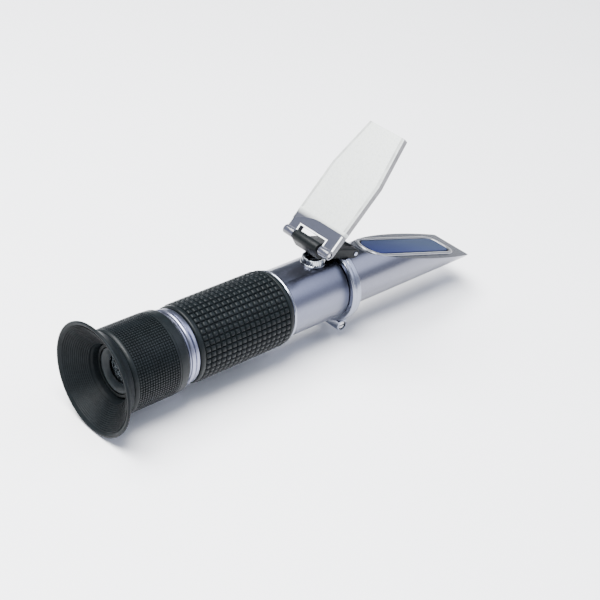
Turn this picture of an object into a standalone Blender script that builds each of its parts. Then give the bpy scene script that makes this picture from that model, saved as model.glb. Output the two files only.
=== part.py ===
"""Hand-held refractometer with a double-hinged daylight plate.

The optical axis runs along +X, from the eyecup's rim to the prism housing's nose. +Z is up,
towards the sample face, and +Y is the left side. Sizes below are in millimetres, measured from
the eyecup's rim along X and from the optical axis along Y and Z. One empty carries the whole
instrument, so that it lies with its lowest rim point on z = 0 and its length centred on x = 0.
"""
import math

import bmesh
import bpy
from mathutils import Matrix, Vector

MM = 0.001
GAP = 0.3                       # running or assembly gap between neighbouring pieces

# --- driving dimensions --------------------------------------------------------------------
LENGTH = 172.6                  # rim of the eyecup to the nose of the prism housing
EYECUP_R = 20.2
TUBE_R = 12.5
TUBE_BORE = 10.9
HOUSING_R = 11.0
FOCUS_R = 14.9
GRIP_R = 14.15
BAND_R = 14.6

# --- places along the axis -----------------------------------------------------------------
HOLE_X = 7.3                    # where the eyecup's cone meets its central hole
HOLE_R = 9.9
CUP_FRONT = 6.5                 # end of the cup's flare, against the focus ring
FOCUS_REAR, FOCUS_FRONT = 6.8, 30.3
SPIGOT_STEP, SPIGOT_FRONT = 8.6, 13.2   # the eyecup's stepped plug
COLLAR_REAR, COLLAR_FRONT = 30.7, 34.5
GRIP_REAR, GRIP_FRONT = 34.8, 76.7
TRIM_REAR, TRIM_FRONT = 77.0, 78.1
TRIM_R = 13.3
NECK_REAR, NECK_FRONT = 14.0, 31.0
TUBE_FRONT = 103.8
BAND_REAR, BAND_FRONT = 104.1, 108.2

# --- prism slope: a plane that falls towards the nose ----------------------------------------
SLOPE = math.radians(17.0)
NOSE_EDGE_Z = -6.2              # height of the slope's edge at the nose
WINDOW_REAR, WINDOW_FRONT = 122.3, 166.3
WINDOW_HALF = 6.1
WINDOW_BULGE = 4.5              # length of the window's rounded rear end
WINDOW_CORNER = 3.7             # radius of its two front corners
LIP_WIDTH = 1.4                 # raised lip all round the window
PROUD = 0.35                    # height of the lip and the glass above the slope
SEAL_STEP = 0.2                 # gap on either side of the prism's seal
SEAL_WIDTH = 0.5

# --- double hinge ----------------------------------------------------------------------------
LINK_PIVOT = Vector((111.2, 0.0, 13.35))
PLATE_PIVOT = Vector((92.2, 0.0, 21.6))
LINK_TILT = math.radians(17.5)  # the link rests parallel to this slope
LINK_HALF = 1.75                # half thickness of the link's bar
LINK_WIDTH = 12.1
KNUCKLE_R = 2.15
LUG_R = 2.0
PLATE_TILT = math.radians(45.4)
PLATE_LENGTH = 48.7             # plate pivot to the plate's tip
PLATE_BEND = 29.4               # plate pivot to where the plate starts to narrow
PLATE_UNDER, PLATE_OVER = 2.1, 0.6
PLATE_REAR_HALF, PLATE_BEND_HALF, PLATE_TIP_HALF = 11.7, 11.8, 8.65
PLATE_EYE_R = 1.75              # rounded end of the plate's ears, about its pin
NOTCH_HALF, NOTCH_END = 6.6, 3.8

# --- calibration screw -----------------------------------------------------------------------
SCREW_X = 96.0
SEAT_Z = 11.7                   # flat milled on the tube's top for the collar
COLLAR_R = 4.2
COLLAR_FLANGE_R = 4.6
COLLAR_TOP_Z = 14.8

# --- clamp ears ------------------------------------------------------------------------------
EAR_X = 106.4
EAR_Z = -14.75
EAR_R = 2.4
EAR_HALF = 8.3
EAR_TOP_Z = -12.6               # where the ears meet the band
EAR_WAIST = 1.9                 # their half thickness there
SEAT_INNER = 5.9                # depth, across, of the seats for the screw's head and the nut

TURN_STEPS = 48                 # facets of a turned outer piece
INNER_STEPS = 36                # facets of a turned piece inside the tube
SMALL_STEPS = 24                # facets of pins, screws and bores


def clear_scene():
    for item in list(bpy.data.objects):
        bpy.data.objects.remove(item, do_unlink=True)


def material(name, colour, roughness, metallic=0.0, transmission=0.0):
    """Principled material; colour is linear RGB."""
    mat = bpy.data.materials.new(name)
    mat.use_nodes = True
    shader = mat.node_tree.nodes["Principled BSDF"]
    shader.inputs["Base Color"].default_value = (*colour, 1.0)
    shader.inputs["Roughness"].default_value = roughness
    shader.inputs["Metallic"].default_value = metallic
    shader.inputs["Transmission Weight"].default_value = transmission
    mat.diffuse_color = (*colour, 1.0)
    return mat


def empty(name, place, parent=None):
    item = bpy.data.objects.new(name, None)
    bpy.context.collection.objects.link(item)
    item.location = place
    item.parent = parent
    return item


def finish(name, bm, mat, parent, origin=(0.0, 0.0, 0.0)):
    """Turn a bmesh in millimetres into an object in metres, carried by an empty.

    origin is the empty's own place in the instrument's millimetres."""
    bmesh.ops.remove_doubles(bm, verts=bm.verts, dist=1e-4)
    bmesh.ops.recalc_face_normals(bm, faces=bm.faces)
    bmesh.ops.transform(bm, matrix=Matrix.Translation(-Vector(origin)), verts=bm.verts)
    bmesh.ops.transform(bm, matrix=Matrix.Scale(MM, 4), verts=bm.verts)
    mesh = bpy.data.meshes.new(name)
    bm.to_mesh(mesh)
    bm.free()
    mesh.materials.append(mat)
    mesh.shade_smooth()
    mesh.set_sharp_from_angle(angle=math.radians(35))
    item = bpy.data.objects.new(name, mesh)
    bpy.context.collection.objects.link(item)
    item.parent = parent
    return item


def turn_matrix(axis, centre):
    """Matrix that lays a shape turned round X along another axis through centre."""
    turn = Vector((1, 0, 0)).rotation_difference(Vector(axis)).to_matrix().to_4x4()
    return Matrix.Translation(Vector(centre)) @ turn


def turned_bmesh(profile, steps, axis=(1, 0, 0), centre=(0, 0, 0), closed=True):
    """Spin a profile of (distance along the axis, radius) points. A closed profile makes a ring,
    an open one runs from the axis to the axis and makes a solid."""
    bm = bmesh.new()
    verts = [bm.verts.new((x, 0.0, r)) for x, r in profile]
    pairs = list(zip(verts, verts[1:]))
    if closed:
        pairs.append((verts[-1], verts[0]))
    edges = [bm.edges.new(pair) for pair in pairs]
    bmesh.ops.spin(bm, geom=verts + edges, axis=(1, 0, 0), cent=(0, 0, 0), angle=math.tau,
                   steps=steps, use_merge=True)
    bmesh.ops.remove_doubles(bm, verts=bm.verts, dist=1e-4)
    bmesh.ops.transform(bm, matrix=turn_matrix(axis, centre), verts=bm.verts)
    return bm


def tube_profile(rear, front, outer, inner, ease=0.0):
    """Plain ring with its outer edges eased by a small chamfer."""
    if not ease:
        return [(rear, inner), (rear, outer), (front, outer), (front, inner)]
    return [(rear, inner), (rear, outer - ease), (rear + ease, outer), (front - ease, outer),
            (front, outer - ease), (front, inner)]


def rod_profile(rear, front, radius, ease=0.2):
    return [(rear, 0.0), (rear, radius - ease), (rear + ease, radius), (front - ease, radius),
            (front, radius - ease), (front, 0.0)]


def arc(centre, radius, start, end, count):
    """Points on an arc, angles in degrees, both ends included."""
    points = []
    for i in range(count + 1):
        a = math.radians(start + (end - start) * i / count)
        points.append((centre[0] + radius * math.cos(a), centre[1] + radius * math.sin(a)))
    return points


def prism_bmesh(outline, low, high):
    """Extrude an outline of 2D points, laid in a plane of X and Z, across Y from low to high."""
    bm = bmesh.new()
    face = bm.faces.new([bm.verts.new((x, low, z)) for x, z in outline])
    grown = bmesh.ops.extrude_face_region(bm, geom=[face])
    moved = [v for v in grown["geom"] if isinstance(v, bmesh.types.BMVert)]
    bmesh.ops.translate(bm, vec=(0, high - low, 0), verts=moved)
    bmesh.ops.recalc_face_normals(bm, faces=bm.faces)
    return bm


def box_bmesh(low, high):
    bm = bmesh.new()
    size = Vector(high) - Vector(low)
    centre = (Vector(high) + Vector(low)) / 2
    bmesh.ops.create_cube(bm, size=1.0, matrix=Matrix.Translation(centre) @ Matrix.Diagonal((*size, 1)))
    return bm


def cutter(name, bm, parent, origin=(0.0, 0.0, 0.0)):
    item = finish(name, bm, MATS["guide"], parent, origin)
    item.hide_render = True
    item.display_type = "WIRE"
    return item


def combine(item, other, operation="DIFFERENCE"):
    mod = item.modifiers.new(operation.lower() + "_" + other.name, "BOOLEAN")
    mod.operation = operation
    mod.solver = "EXACT"
    mod.object = other


def slope_z(x):
    """Height of the sample face's plane."""
    return NOSE_EDGE_Z + (LENGTH - x) * math.tan(SLOPE)


# --- eyepiece end ----------------------------------------------------------------------------

def eyecup(parent):
    """Rubber cup: a shallow cone with a thin lip, on a spigot that plugs into the focus ring."""
    profile = [(HOLE_X, HOLE_R), (0.45, 18.9), (0.0, 19.4), (0.1, EYECUP_R - 0.2), (0.7, EYECUP_R),
               (1.5, 19.3), (3.0, 17.6), (4.2, 16.4), (5.4, 15.5), (CUP_FRONT, 14.6), (CUP_FRONT, 12.9),
               (SPIGOT_STEP, 12.9), (SPIGOT_STEP, 11.3), (SPIGOT_FRONT, 11.3), (SPIGOT_FRONT, HOLE_R)]
    finish("eyecup", turned_bmesh(profile, TURN_STEPS), MATS["soft_rubber"], parent)


def focus_ring(parent):
    step = SPIGOT_STEP + GAP
    bore, counterbore = 11.6, 13.2
    profile = [(FOCUS_REAR, counterbore), (FOCUS_REAR, 14.3), (7.8, FOCUS_R), (25.6, FOCUS_R), (26.0, 14.75),
               (28.9, 14.65), (FOCUS_FRONT, 13.3), (FOCUS_FRONT, bore), (step, bore), (step, counterbore)]
    finish("focus_ring", turned_bmesh(profile, TURN_STEPS), MATS["hard_rubber"], parent)


def eyepiece_group(parent):
    """Sliding cell with two lenses held apart by a spacer."""
    cell = [(9.2, 8.4), (9.2, 9.6), (29.0, 9.6), (29.0, 7.2), (24.8, 7.2), (24.8, 8.4)]
    finish("eyepiece_cell", turned_bmesh(cell, INNER_STEPS), MATS["black_metal"], parent)
    ring = [(9.5, 7.2), (9.5, 8.1), (11.0, 8.1), (11.0, 5.2), (10.6, 5.2)]
    finish("eyepiece_retaining_ring", turned_bmesh(ring, INNER_STEPS), MATS["grey_metal"], parent)
    lens("eye_lens", 11.3, 15.0, 8.1, 1.0, 1.0, parent)
    finish("lens_spacer", turned_bmesh(tube_profile(15.3, 20.9, 8.1, 7.2), INNER_STEPS),
           MATS["black_metal"], parent)
    lens("field_lens", 21.2, 24.5, 8.1, 1.1, 0.4, parent)


def lens(name, rear, front, radius, rear_sag, front_sag, parent):
    """Glass disc with two domed faces."""
    rings = 4
    profile = []
    for i in range(rings + 1):
        r = radius * i / rings
        profile.append((rear + rear_sag * (r / radius) ** 2, r))
    for i in range(rings, -1, -1):
        r = radius * i / rings
        profile.append((front - front_sag * (r / radius) ** 2, r))
    bm = turned_bmesh(profile, INNER_STEPS, closed=False)
    finish(name, bm, MATS["glass"], parent)


# --- barrel ----------------------------------------------------------------------------------

def barrel_tube(parent):
    """Aluminium tube: a thin neck for the focus ring, then the full bore up to the band."""
    profile = [(NECK_REAR, 9.9), (NECK_REAR, 11.3), (NECK_FRONT, 11.3), (NECK_FRONT, TUBE_R),
               (TUBE_FRONT - 0.3, TUBE_R), (TUBE_FRONT, TUBE_R - 0.3), (TUBE_FRONT, TUBE_BORE),
               (33.5, TUBE_BORE), (33.5, 9.9)]
    tube = finish("barrel_tube", turned_bmesh(profile, TURN_STEPS), MATS["aluminium"], parent)
    up = (0, 0, 1)
    seat = turned_bmesh(rod_profile(SEAT_Z, TUBE_R + 2, COLLAR_FLANGE_R + GAP, 0.0), SMALL_STEPS, up, (SCREW_X, 0, 0), False)
    combine(tube, cutter("cut_screw_seat", seat, parent))
    hole = turned_bmesh(rod_profile(8.0, TUBE_R + 2, 3.2, 0.0), SMALL_STEPS, up, (SCREW_X, 0, 0), False)
    combine(tube, cutter("cut_screw_hole", hole, parent))


def barrel_sleeves(parent):
    """The bright collar, the rubber grip and the thin bright ring that ends it."""
    inner = TUBE_R + GAP
    bead = [(COLLAR_REAR, inner), (COLLAR_REAR, 13.0)] + arc((32.0, 12.9), 0.8, 150, 20, 5)
    bead += [(33.1, 13.2), (33.3, 13.35), (COLLAR_FRONT - 0.2, 13.35), (COLLAR_FRONT, 13.15),
             (COLLAR_FRONT, inner)]
    finish("rear_collar", turned_bmesh(bead, TURN_STEPS), MATS["bright_aluminium"], parent)
    grip = [(GRIP_REAR, inner), (GRIP_REAR, 13.4), (35.4, 13.95), (36.2, GRIP_R), (74.9, GRIP_R),
            (75.9, 13.8), (GRIP_FRONT, 13.2), (GRIP_FRONT, inner)]
    finish("rubber_grip", turned_bmesh(grip, TURN_STEPS), MATS["grip_rubber"], parent)
    trim = tube_profile(TRIM_REAR, TRIM_FRONT, TRIM_R, inner, 0.2)
    finish("front_trim_ring", turned_bmesh(trim, TURN_STEPS), MATS["chrome"], parent)


def calibration_mount(parent):
    """Knurled collar on the tube's top that guards the calibration screw, with its seal."""
    up = (0, 0, 1)
    place = (SCREW_X, 0, 0)
    profile = [(9.9, 1.75), (9.9, 2.9), (12.0, 2.9), (12.0, 4.45), (12.3, COLLAR_FLANGE_R),
               (12.6, COLLAR_R), (COLLAR_TOP_Z - 0.3, COLLAR_R), (COLLAR_TOP_Z, COLLAR_R - 0.3),
               (COLLAR_TOP_Z, 3.1), (13.0, 3.0),
               (12.7, 2.3), (10.9, 2.3), (10.9, 1.75)]
    finish("calibration_collar", turned_bmesh(profile, SMALL_STEPS, up, place), MATS["chrome"], parent)
    seal = [(11.1, 1.65), (11.1, 2.1), (11.5, 2.1), (11.5, 1.65)]
    finish("calibration_seal", turned_bmesh(seal, SMALL_STEPS, up, place), MATS["soft_rubber"], parent)


def calibration_screw(parent, origin):
    """Slotted screw whose tip shifts the objective's carrier."""
    up = (0, 0, 1)
    profile = [(9.75, 0.0), (9.75, 1.1), (10.0, 1.4), (11.7, 1.4), (11.7, 2.0), (12.5, 2.0),
               (12.65, 1.85), (12.65, 0.0)]
    bm = turned_bmesh(profile, SMALL_STEPS, up, (SCREW_X, 0, 0), False)
    screw = finish("calibration_screw", bm, MATS["steel"], parent, origin)
    slot = box_bmesh((SCREW_X - 3, -0.3, 12.15), (SCREW_X + 3, 0.3, 14.0))
    combine(screw, cutter("cut_screw_slot", slot, parent, origin))


def inner_optics(parent):
    """Reticle, light baffle and the fixed foot of the temperature strip, all inside the tube."""
    fit_r = TUBE_BORE - GAP
    holder = [(44.0, 7.5), (44.0, fit_r), (50.0, fit_r), (50.0, 9.0), (46.0, 9.0), (46.0, 7.5)]
    finish("reticle_holder", turned_bmesh(holder, INNER_STEPS), MATS["black_metal"], parent)
    disc = turned_bmesh(rod_profile(46.3, 47.8, 8.7), INNER_STEPS, closed=False)
    finish("reticle_disc", disc, MATS["glass"], parent)
    lock = turned_bmesh(tube_profile(48.1, 49.6, 8.7, 7.5), INNER_STEPS)
    finish("reticle_lock_ring", lock, MATS["black_metal"], parent)
    baffle = [(62.0, 9.8), (62.0, fit_r), (67.0, fit_r), (67.0, 6.5), (66.2, 6.5), (66.2, 9.8)]
    finish("light_baffle", turned_bmesh(baffle, INNER_STEPS), MATS["black_metal"], parent)
    foot = turned_bmesh(tube_profile(76.0, 80.0, fit_r, 8.6), INNER_STEPS)
    finish("strip_foot_ring", foot, MATS["black_metal"], parent)


def objective_group(parent, origin):
    """Carrier with the objective, hung on the bimetal strip that corrects for temperature."""
    carrier = [(89.5, 6.6), (89.5, 9.1), (98.6, 9.1), (98.6, 5.6), (97.4, 5.6), (97.4, 6.6)]
    ring = finish("objective_carrier", turned_bmesh(carrier, INNER_STEPS), MATS["black_metal"], parent, origin)
    under = box_bmesh((88.0, -2.8, -10.0), (92.6, 2.8, -8.35))
    combine(ring, cutter("cut_strip_seat", under, parent, origin))
    strip = box_bmesh((80.3, -2.4, -9.25), (92.2, 2.4, -8.65))
    finish("bimetal_strip", strip, MATS["brass"], parent, origin)
    bm_profile = [(92.8, 0.0), (93.3, 3.0), (94.0, 6.3), (97.1, 6.3), (97.1, 0.0)]
    bm = turned_bmesh(bm_profile, INNER_STEPS, closed=False)
    finish("objective_lens", bm, MATS["glass"], parent, origin)
    lock = turned_bmesh(tube_profile(89.9, 91.6, 6.3, 5.4), INNER_STEPS)
    finish("objective_lock_ring", lock, MATS["black_metal"], parent, origin)


# --- clamp band ------------------------------------------------------------------------------

def clamp_band(parent):
    """Split bright band with two ears below and a sloping seat on top for the folded-back link."""
    inner = HOUSING_R + GAP
    ring_profile = [(BAND_REAR, inner), (BAND_REAR, BAND_R - 0.5), (BAND_REAR + 0.5, BAND_R),
                    (BAND_FRONT - 0.4, BAND_R), (BAND_FRONT, BAND_R - 0.4), (BAND_FRONT, inner)]
    band = finish("clamp_band", turned_bmesh(ring_profile, TURN_STEPS), MATS["chrome"], parent)
    outline = arc((EAR_X, EAR_Z), EAR_R, 180, 360, 10)
    outline += [(EAR_X + EAR_WAIST, EAR_TOP_Z), (EAR_X - EAR_WAIST, EAR_TOP_Z)]
    ears = prism_bmesh(outline, -EAR_HALF, EAR_HALF)
    combine(band, cutter("add_clamp_ears", ears, parent), "UNION")
    split = box_bmesh((BAND_REAR - 1, -0.5, -19.0), (BAND_FRONT + 1, 0.5, -10.0))
    combine(band, cutter("cut_band_split", split, parent))
    past = EAR_HALF + 1.0
    bores = [(-past, 0.0), (-past, 1.8), (-SEAT_INNER, 1.8), (-SEAT_INNER, 1.2), (SEAT_INNER, 1.2),
             (SEAT_INNER, 2.0), (past, 2.0), (past, 0.0)]
    bm = turned_bmesh(bores, SMALL_STEPS, (0, 1, 0), (EAR_X, 0, EAR_Z), False)
    combine(band, cutter("cut_ear_bores", bm, parent))
    combine(band, cutter("cut_link_seat", link_seat_bmesh(), parent))


def link_point(along, above):
    """Point of the link's side outline: along the bar from the link pivot, and above its middle."""
    back = (-math.cos(LINK_TILT), math.sin(LINK_TILT))
    up = (math.sin(LINK_TILT), math.cos(LINK_TILT))
    return (LINK_PIVOT.x + back[0] * along + up[0] * above,
            LINK_PIVOT.z + back[1] * along + up[1] * above)


def link_seat_bmesh():
    under = -LINK_HALF - GAP
    corners = [link_point(1.5, under), link_point(12.0, under), link_point(12.0, 6.0), link_point(1.5, 6.0)]
    return prism_bmesh(corners, -LINK_WIDTH / 2 - 0.5, LINK_WIDTH / 2 + 0.5)


def clamp_fasteners(parent):
    side = (0, 1, 0)
    place = (EAR_X, 0, EAR_Z)
    seat = SEAT_INNER + GAP
    end = EAR_HALF - 0.3
    profile = [(-end, 0.0), (-end, 1.3), (0.2 - end, 1.5), (-seat, 1.5), (-seat, 0.9), (end, 0.9), (end, 0.0)]
    bm = turned_bmesh(profile, SMALL_STEPS, side, place, False)
    screw = finish("clamp_screw", bm, MATS["steel"], parent)
    slot = box_bmesh((EAR_X - 3, -end - 1, EAR_Z - 0.25), (EAR_X + 3, 0.6 - end, EAR_Z + 0.25))
    combine(screw, cutter("cut_clamp_slot", slot, parent))
    nut = turned_bmesh(tube_profile(seat, end, 1.75, 1.15, 0.15), 6, side, place)
    finish("clamp_nut", nut, MATS["steel"], parent)


# --- prism end -------------------------------------------------------------------------------

def window_outline(inset):
    """Outline of the window in the slope's own plane: a round rear end and eased front corners.

    Points are (along the slope from the nose edge, across); inset shrinks it all round."""
    to_slope = 1.0 / math.cos(SLOPE)
    rear = (LENGTH - WINDOW_REAR) * to_slope - inset
    front = (LENGTH - WINDOW_FRONT) * to_slope + inset
    half = WINDOW_HALF - inset
    bulge = WINDOW_BULGE - inset
    corner = WINDOW_CORNER - inset
    points = []
    steps = 10
    for i in range(steps + 1):
        a = math.radians(90.0 * i / steps)
        points.append((rear - bulge + bulge * math.sin(a), half * math.cos(a)))
    for i in range(1, steps + 1):
        a = math.radians(90.0 * i / steps)
        points.append((rear - bulge + bulge * math.cos(a), -half * math.sin(a)))
    points += [(front + corner + x, -half + corner + y) for x, y in arc((0, 0), corner, 270, 180, 6)]
    points += [(front + corner + x, half - corner + y) for x, y in arc((0, 0), corner, 180, 90, 6)]
    return points


def slope_bmesh(outline, depth, height=0.0):
    """Extrude an outline of the slope's plane inwards by depth, starting height above the plane."""
    bm = bmesh.new()
    back = Vector((-math.cos(SLOPE), 0, math.sin(SLOPE)))
    out = Vector((math.sin(SLOPE), 0, math.cos(SLOPE)))
    base = Vector((LENGTH, 0, NOSE_EDGE_Z)) + out * height
    face = bm.faces.new([bm.verts.new(base + back * u + Vector((0, v, 0))) for u, v in outline])
    grown = bmesh.ops.extrude_face_region(bm, geom=[face])
    moved = [v for v in grown["geom"] if isinstance(v, bmesh.types.BMVert)]
    bmesh.ops.translate(bm, vec=-out * (depth + height), verts=moved)
    bmesh.ops.recalc_face_normals(bm, faces=bm.faces)
    return bm


def prism_limit(grow):
    """Side shape that keeps the prism inside the housing: upright rear face and level floor."""
    rear = WINDOW_REAR - grow
    front = WINDOW_FRONT + 2.0
    floor = -6.6 - grow
    return prism_bmesh([(rear, floor), (front, floor), (front, 14.0), (rear, 14.0)], -8.0, 8.0)


def prism_housing(parent):
    """Turned housing, cut by the slope, with a light bore from the rear and the prism's pocket,
    which a low lip surrounds."""
    profile = [(99.2, 8.2), (99.2, 10.5), (TUBE_FRONT + GAP, 10.5), (TUBE_FRONT + GAP, HOUSING_R),
               (LENGTH - 0.3, HOUSING_R), (LENGTH, HOUSING_R - 0.3), (LENGTH, 0.0), (128.0, 0.0),
               (128.0, 8.2)]
    bm = turned_bmesh(profile, TURN_STEPS, closed=True)
    housing = finish("prism_housing", bm, MATS["housing_metal"], parent)
    corners = [(90.0, slope_z(90.0)), (LENGTH + 5, slope_z(LENGTH + 5)), (LENGTH + 5, 50), (90.0, 50)]
    combine(housing, cutter("cut_slope", prism_bmesh(corners, -15, 15), parent))
    flat = box_bmesh((BAND_FRONT, -7.0, HOUSING_R - 0.4), (118.0, 7.0, 14.0))
    combine(housing, cutter("cut_lug_flat", flat, parent))
    lip = slope_bmesh(window_outline(-LIP_WIDTH), 0.8, PROUD)
    combine(housing, cutter("add_window_lip", lip, parent), "UNION")
    pocket = slope_bmesh(window_outline(0.0), 26.0, 3.0)
    shell = cutter("cut_prism_pocket", pocket, parent)
    combine(shell, cutter("keep_pocket_limit", prism_limit(SEAL_STEP), parent), "INTERSECT")
    combine(housing, shell)


def prism_parts(parent):
    """The glass prism and the thin black seal that lines the top of its pocket."""
    inset = 2 * SEAL_STEP + SEAL_WIDTH
    glass = finish("prism", slope_bmesh(window_outline(inset), 26.0, PROUD), MATS["prism_glass"], parent)
    combine(glass, cutter("keep_prism_limit", prism_limit(0.0), parent), "INTERSECT")
    seal = finish("prism_seal", slope_bmesh(window_outline(SEAL_STEP), 2.0, -0.1), MATS["seal"], parent)
    inner = slope_bmesh(window_outline(SEAL_STEP + SEAL_WIDTH), 6.0, 3.0)
    combine(seal, cutter("cut_seal", inner, parent))


# --- double hinge and daylight plate -----------------------------------------------------------

def hinge_lug(parent):
    """Black lug on the housing that carries the link's pivot."""
    x, z = LINK_PIVOT.x, LINK_PIVOT.z
    floor = HOUSING_R - 0.4 + GAP
    outline = arc((x, z), LUG_R, 0, 180, 12) + [(x - LUG_R, floor), (x + LUG_R, floor)]
    lug = finish("hinge_lug", prism_bmesh(outline, -2.5, 2.5), MATS["black_metal"], parent)
    bore = turned_bmesh(rod_profile(-9, 9, 1.15, 0.0), SMALL_STEPS, (0, 1, 0), (x, 0, z), False)
    combine(lug, cutter("cut_lug_bore", bore, parent))


def hinge_link(parent, origin):
    """Black link: a forked bar with a round front end and a raised knuckle at the rear."""
    reach = Vector((PLATE_PIVOT.x - LINK_PIVOT.x, PLATE_PIVOT.z - LINK_PIVOT.z))
    along = -reach.x * math.cos(LINK_TILT) + reach.y * math.sin(LINK_TILT)
    above = reach.x * math.sin(LINK_TILT) + reach.y * math.cos(LINK_TILT)
    front = [link_point(s, n) for s, n in arc((0, 0), LINK_HALF, 90, 270, 10)]
    knuckle_start = math.degrees(math.asin((above - LINK_HALF) / KNUCKLE_R))
    knuckle = [link_point(s, n) for s, n in arc((along, above), KNUCKLE_R, -50, 180 + knuckle_start, 14)]
    outline = front + [link_point(along - 1.2, -LINK_HALF)] + knuckle
    half = LINK_WIDTH / 2
    link = finish("hinge_link", prism_bmesh(outline, -half, half), MATS["black_metal"], parent, origin)
    fork = [link_point(-4, -4), link_point(3.0, -4), link_point(3.0, 4), link_point(-4, 4)]
    combine(link, cutter("cut_link_fork", prism_bmesh(fork, -2.8, 2.8), parent, origin))
    for name, pivot, radius in (("cut_link_bore", LINK_PIVOT, 1.15), ("cut_knuckle_bore", PLATE_PIVOT, 1.05)):
        bore = turned_bmesh(rod_profile(-9, 9, radius, 0.0), SMALL_STEPS, (0, 1, 0), pivot, False)
        combine(link, cutter(name, bore, parent, origin))
    pin = turned_bmesh(rod_profile(-6.35, 6.35, 0.9), SMALL_STEPS, (0, 1, 0), LINK_PIVOT, False)
    finish("link_pin", pin, MATS["steel"], parent, origin)


def plate_outline():
    """Outline of the plate, seen from above: (along from the pivot, across)."""
    side = [(NOTCH_END, NOTCH_HALF), (0.0, NOTCH_HALF), (0.0, PLATE_REAR_HALF),
            (PLATE_BEND, PLATE_BEND_HALF), (PLATE_LENGTH, PLATE_TIP_HALF)]
    return side + [(t, -w) for t, w in reversed(side)]


def plate_matrix():
    """From the plate's own axes (along, across, up from the pivot) to the instrument."""
    return Matrix.Translation(PLATE_PIVOT) @ Matrix.Rotation(-PLATE_TILT, 4, "Y")


def daylight_plate(parent, origin):
    bm = bmesh.new()
    face = bm.faces.new([bm.verts.new((t, w, -PLATE_UNDER)) for t, w in plate_outline()])
    grown = bmesh.ops.extrude_face_region(bm, geom=[face])
    moved = [v for v in grown["geom"] if isinstance(v, bmesh.types.BMVert)]
    bmesh.ops.translate(bm, vec=(0, 0, PLATE_UNDER + PLATE_OVER), verts=moved)
    bmesh.ops.transform(bm, matrix=plate_matrix(), verts=bm.verts)
    plate = finish("daylight_plate", bm, MATS["frosted"], parent, origin)
    for name, low, high in (("add_near_eye", -PLATE_REAR_HALF + 0.1, -NOTCH_HALF - 0.1),
                            ("add_far_eye", NOTCH_HALF + 0.1, PLATE_REAR_HALF - 0.1)):
        eye = turned_bmesh(rod_profile(low, high, PLATE_EYE_R), SMALL_STEPS, (0, 1, 0), PLATE_PIVOT, False)
        combine(plate, cutter(name, eye, parent, origin), "UNION")
    bore = turned_bmesh(rod_profile(-15, 15, 1.05, 0.0), SMALL_STEPS, (0, 1, 0), PLATE_PIVOT, False)
    combine(plate, cutter("cut_plate_bore", bore, parent, origin))
    pin = turned_bmesh(rod_profile(-11.3, 11.3, 0.8), SMALL_STEPS, (0, 1, 0), PLATE_PIVOT, False)
    finish("plate_pin", pin, MATS["steel"], parent, origin)


def build_materials():
    return {
        "guide": material("guide", (0.8, 0.2, 0.2), 0.5),
        "soft_rubber": material("soft_rubber", (0.012, 0.016, 0.018), 0.55),
        "hard_rubber": material("hard_rubber", (0.010, 0.013, 0.014), 0.5),
        "grip_rubber": material("grip_rubber", (0.010, 0.014, 0.016), 0.45),
        "aluminium": material("aluminium", (0.42, 0.45, 0.56), 0.32, 1.0),
        "bright_aluminium": material("bright_aluminium", (0.62, 0.64, 0.72), 0.2, 1.0),
        "housing_metal": material("housing_metal", (0.45, 0.47, 0.56), 0.35, 1.0),
        "chrome": material("chrome", (0.68, 0.70, 0.74), 0.12, 1.0),
        "steel": material("steel", (0.50, 0.50, 0.50), 0.3, 1.0),
        "grey_metal": material("grey_metal", (0.09, 0.10, 0.11), 0.4, 0.6),
        "black_metal": material("black_metal", (0.012, 0.014, 0.015), 0.4, 0.3),
        "brass": material("brass", (0.60, 0.42, 0.18), 0.35, 1.0),
        "glass": material("glass", (0.85, 0.92, 0.95), 0.05, 0.0, 0.9),
        "prism_glass": material("prism_glass", (0.10, 0.13, 0.30), 0.08, 0.0, 0.3),
        "seal": material("seal", (0.006, 0.006, 0.008), 0.6),
        "frosted": material("frosted", (0.74, 0.77, 0.73), 0.45, 0.0, 0.3),
    }


def build():
    frame = empty("instrument_frame", (-LENGTH / 2 * MM, 0.0, EYECUP_R * MM))
    eyepiece = empty("eyepiece_slide_frame", (0, 0, 0), frame)
    focus = empty("focus_turn_frame", (0, 0, 0), eyepiece)
    screw_axis = Vector((SCREW_X, 0.0, 0.0))
    calibration = empty("calibration_axis", screw_axis * MM, frame)
    objective = empty("objective_shift_frame", screw_axis * MM, frame)
    link_axis = empty("link_axis", LINK_PIVOT * MM, frame)
    plate_axis = empty("plate_axis", (PLATE_PIVOT - LINK_PIVOT) * MM, link_axis)

    eyecup(focus)
    focus_ring(focus)
    eyepiece_group(eyepiece)
    barrel_tube(frame)
    barrel_sleeves(frame)
    calibration_mount(frame)
    calibration_screw(calibration, screw_axis)
    inner_optics(frame)
    objective_group(objective, screw_axis)
    clamp_band(frame)
    clamp_fasteners(frame)
    prism_housing(frame)
    prism_parts(frame)
    hinge_lug(frame)
    hinge_link(link_axis, LINK_PIVOT)
    daylight_plate(plate_axis, PLATE_PIVOT)


clear_scene()
MATS = build_materials()
build()
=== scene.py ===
"""Looks of the hand-held refractometer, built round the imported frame.

Shapes are made in the instrument's own millimetres: X from the eyecup's rim along the optical
axis, Y and Z from the axis. settle() carries them to the frame's metres.
"""
import math

import bmesh
import bpy
from mathutils import Matrix, Vector


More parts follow.
